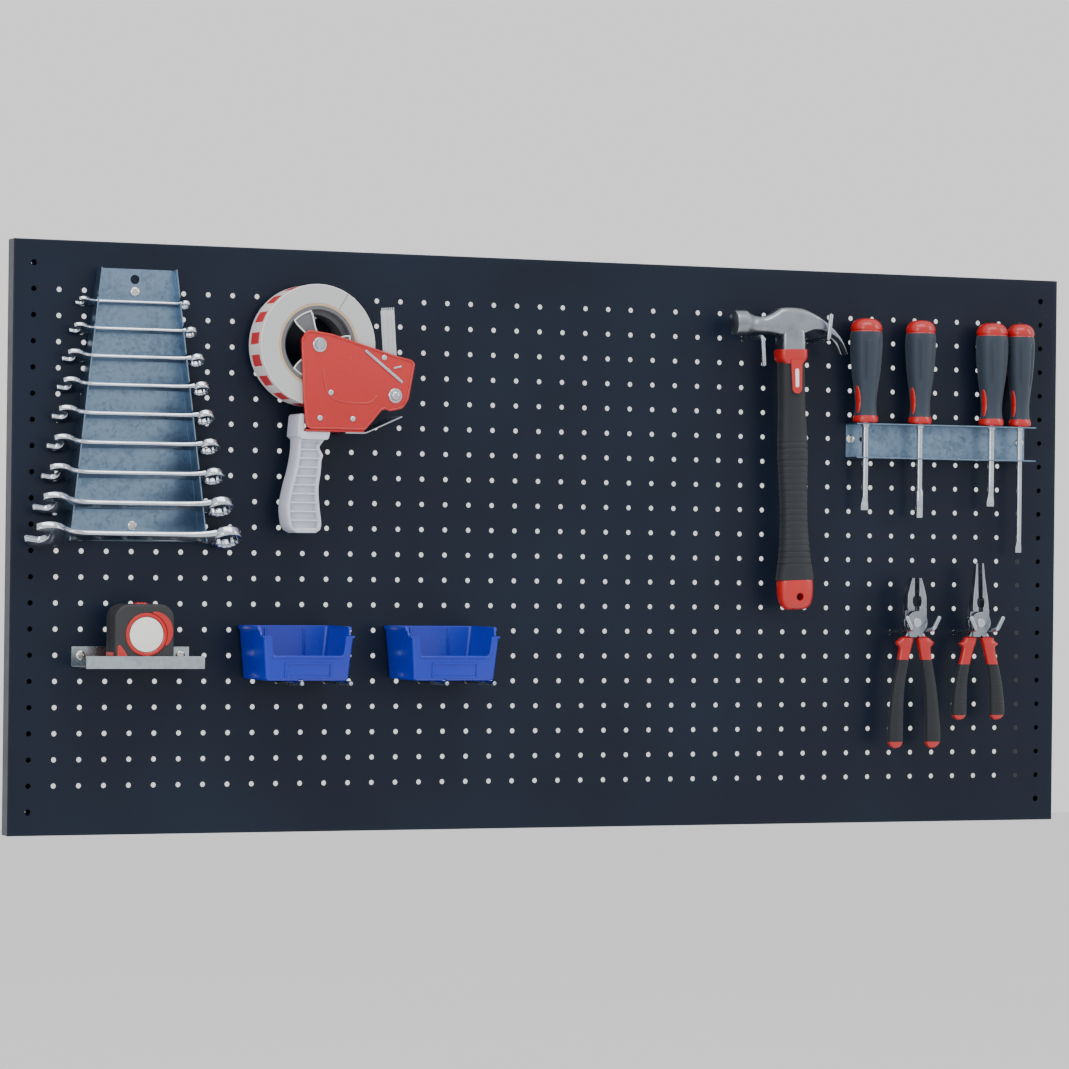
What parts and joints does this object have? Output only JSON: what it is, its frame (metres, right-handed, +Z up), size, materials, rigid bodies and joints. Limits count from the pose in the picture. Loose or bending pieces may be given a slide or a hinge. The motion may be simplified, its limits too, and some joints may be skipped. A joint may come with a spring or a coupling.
{
  "type": "pegboard tool wall",
  "caption": "Wall-mounted perforated steel board with racks and hooks holding wrenches, screwdrivers, pliers, a hammer, a tape measure, a tape dispenser and open bins.",
  "frame": {"origin": "centre of the board's back, on the wall", "axes": "+Z up, the board faces -Y, +X to the right as seen from the front"},
  "size_m": [1.14, 0.0948, 0.57],
  "materials": {
    "board_paint": "satin powder coat",
    "zinc": "galvanised",
    "rack_steel": "blue-grey galvanised",
    "screw_steel": "zinc plated",
    "tool_chrome": "satin chrome",
    "tool_steel": "ground steel",
    "grip_dark": "soft grip",
    "plastic_red": "satin",
    "dispenser_red": "gloss paint",
    "dispenser_white": "ribbed",
    "hub_grey": "moulded",
    "tape_side": "wound film edges",
    "flap_clear": "translucent",
    "measure_dark": "moulded rubber",
    "measure_blade": "lacquered",
    "bin_blue": "moulded"
  },
  "bodies": {
    "board": {"perforated_sheet": "board_paint", "top_rail": "board_paint", "bottom_rail": "board_paint", "left_upright": "board_paint", "right_upright": "board_paint", "wrench_rack": "rack_steel", "driver_rack": "zinc", "tape_shelf": "zinc", "hammer_hook": "zinc", "pliers_hooks": "zinc", "bin_hooks": "zinc", "dispenser_hook": "zinc", "rack_screws": "screw_steel"},
    "wrench_1": {"wrench_1": "tool_chrome"},
    "wrench_2": {"wrench_2": "tool_chrome"},
    "wrench_3": {"wrench_3": "tool_chrome"},
    "wrench_4": {"wrench_4": "tool_chrome"},
    "wrench_5": {"wrench_5": "tool_chrome"},
    "wrench_6": {"wrench_6": "tool_chrome"},
    "wrench_7": {"wrench_7": "tool_chrome"},
    "wrench_8": {"wrench_8": "tool_chrome"},
    "wrench_9": {"wrench_9": "tool_chrome"},
    "screwdriver_1": {"driver_handle_1": "grip_dark", "driver_cap_1": "plastic_red", "driver_blade_1": "tool_chrome"},
    "screwdriver_2": {"driver_handle_2": "grip_dark", "driver_cap_2": "plastic_red", "driver_blade_2": "tool_chrome"},
    "screwdriver_3": {"driver_handle_3": "grip_dark", "driver_cap_3": "plastic_red", "driver_blade_3": "tool_chrome"},
    "screwdriver_4": {"driver_handle_4": "grip_dark", "driver_cap_4": "plastic_red", "driver_blade_4": "tool_chrome"},
    "hammer": {"hammer_head": "tool_steel", "hammer_shaft": "plastic_red", "hammer_grip": "grip_dark", "hammer_cap": "plastic_red"},
    "combination_pliers": {"combination_pliers_left_half": "tool_steel", "combination_pliers_left_grip": "grip_dark", "combination_pliers_rivet": "tool_steel"},
    "combination_pliers_free_half": {"combination_pliers_right_half": "tool_steel", "combination_pliers_right_grip": "grip_dark"},
    "long_nose_pliers": {"long_nose_pliers_left_half": "tool_steel", "long_nose_pliers_left_grip": "grip_dark", "long_nose_pliers_rivet": "tool_steel"},
    "long_nose_pliers_free_half": {"long_nose_pliers_right_half": "tool_steel", "long_nose_pliers_right_grip": "grip_dark"},
    "tape_measure": {"measure_case": "measure_dark"},
    "tape_blade": {"measure_tape": "measure_blade"},
    "tape_lock": {"measure_lock": "plastic_red"},
    "dispenser": {"dispenser_frame": "dispenser_red", "dispenser_handle": "dispenser_white", "dispenser_cutter": "tool_steel", "dispenser_flap": "flap_clear"},
    "tape_reel": {"dispenser_hub": "hub_grey", "tape_roll": "tape_side"},
    "tension_roller": {"dispenser_roller": "hub_grey"},
    "left_bin": {"left_bin": "bin_blue"},
    "right_bin": {"right_bin": "bin_blue"}
  },
  "joints": [
    {"name": "wrench_1_lift", "type": "slide", "parent": "board", "child": "wrench_1", "axis": [0, -0.866, 0.5], "range_m": [0, 0.07]},
    {"name": "wrench_2_lift", "type": "slide", "parent": "board", "child": "wrench_2", "axis": [0, -0.866, 0.5], "range_m": [0, 0.07]},
    {"name": "wrench_3_lift", "type": "slide", "parent": "board", "child": "wrench_3", "axis": [0, -0.866, 0.5], "range_m": [0, 0.07]},
    {"name": "wrench_4_lift", "type": "slide", "parent": "board", "child": "wrench_4", "axis": [0, -0.866, 0.5], "range_m": [0, 0.07]},
    {"name": "wrench_5_lift", "type": "slide", "parent": "board", "child": "wrench_5", "axis": [0, -0.866, 0.5], "range_m": [0, 0.07]},
    {"name": "wrench_6_lift", "type": "slide", "parent": "board", "child": "wrench_6", "axis": [0, -0.866, 0.5], "range_m": [0, 0.07]},
    {"name": "wrench_7_lift", "type": "slide", "parent": "board", "child": "wrench_7", "axis": [0, -0.866, 0.5], "range_m": [0, 0.07]},
    {"name": "wrench_8_lift", "type": "slide", "parent": "board", "child": "wrench_8", "axis": [0, -0.866, 0.5], "range_m": [0, 0.07]},
    {"name": "wrench_9_lift", "type": "slide", "parent": "board", "child": "wrench_9", "axis": [0, -0.866, 0.5], "range_m": [0, 0.07]},
    {"name": "screwdriver_1_lift", "type": "slide", "parent": "board", "child": "screwdriver_1", "axis": [0, 0, 1], "range_m": [0, 0.096]},
    {"name": "screwdriver_2_lift", "type": "slide", "parent": "board", "child": "screwdriver_2", "axis": [0, 0, 1], "range_m": [0, 0.103]},
    {"name": "screwdriver_3_lift", "type": "slide", "parent": "board", "child": "screwdriver_3", "axis": [0, 0, 1], "range_m": [0, 0.09]},
    {"name": "screwdriver_4_lift", "type": "slide", "parent": "board", "child": "screwdriver_4", "axis": [0, 0, 1], "range_m": [0, 0.138]},
    {"name": "hammer_lift", "type": "slide", "parent": "board", "child": "hammer", "axis": [0, 0, 1], "range_m": [0, 0.3]},
    {"name": "combination_pliers_lift", "type": "slide", "parent": "board", "child": "combination_pliers", "axis": [0, -0.9962, 0.0872], "range_m": [0, 0.07]},
    {"name": "combination_pliers_open", "type": "hinge", "parent": "combination_pliers", "child": "combination_pliers_free_half", "pos_m": [0.3875, -0.05, -0.07677], "axis": [0, -1, 0], "range_deg": [-4.5, 7]},
    {"name": "long_nose_pliers_lift", "type": "slide", "parent": "board", "child": "long_nose_pliers", "axis": [0, -0.9962, 0.0872], "range_m": [0, 0.07]},
    {"name": "long_nose_pliers_open", "type": "hinge", "parent": "long_nose_pliers", "child": "long_nose_pliers_free_half", "pos_m": [0.4625, -0.05, -0.07677], "axis": [0, -1, 0], "range_deg": [-3.5, 12]},
    {"name": "tape_measure_lift", "type": "slide", "parent": "board", "child": "tape_measure", "axis": [0, 0, 1], "range_m": [0, 0.05]},
    {"name": "tape_pull", "type": "slide", "parent": "tape_measure", "child": "tape_blade", "axis": [-1, 0, 0], "range_m": [0, 0.045], "stiffness_N_per_m": 15, "springref_m": -0.03},
    {"name": "tape_lock_press", "type": "slide", "parent": "tape_measure", "child": "tape_lock", "axis": [0, 0, -1], "range_m": [0, 0.002], "stiffness_N_per_m": 300, "springref_m": -0.002},
    {"name": "dispenser_lift", "type": "slide", "parent": "board", "child": "dispenser", "axis": [0, -0.9863, 0.165], "range_m": [0, 0.07]},
    {"name": "tape_reel_spin", "type": "hinge", "parent": "dispenser", "child": "tape_reel", "pos_m": [-0.277, -0.046, 0.19], "axis": [0, -1, 0], "continuous": true},
    {"name": "tension_roller_spin", "type": "hinge", "parent": "dispenser", "child": "tension_roller", "pos_m": [-0.198, -0.046, 0.1425], "axis": [0, -1, 0], "continuous": true},
    {"name": "left_bin_lift", "type": "slide", "parent": "board", "child": "left_bin", "axis": [0, 0, 1], "range_m": [0, 0.08]},
    {"name": "right_bin_lift", "type": "slide", "parent": "board", "child": "right_bin", "axis": [0, 0, 1], "range_m": [0, 0.08]}
  ]
}
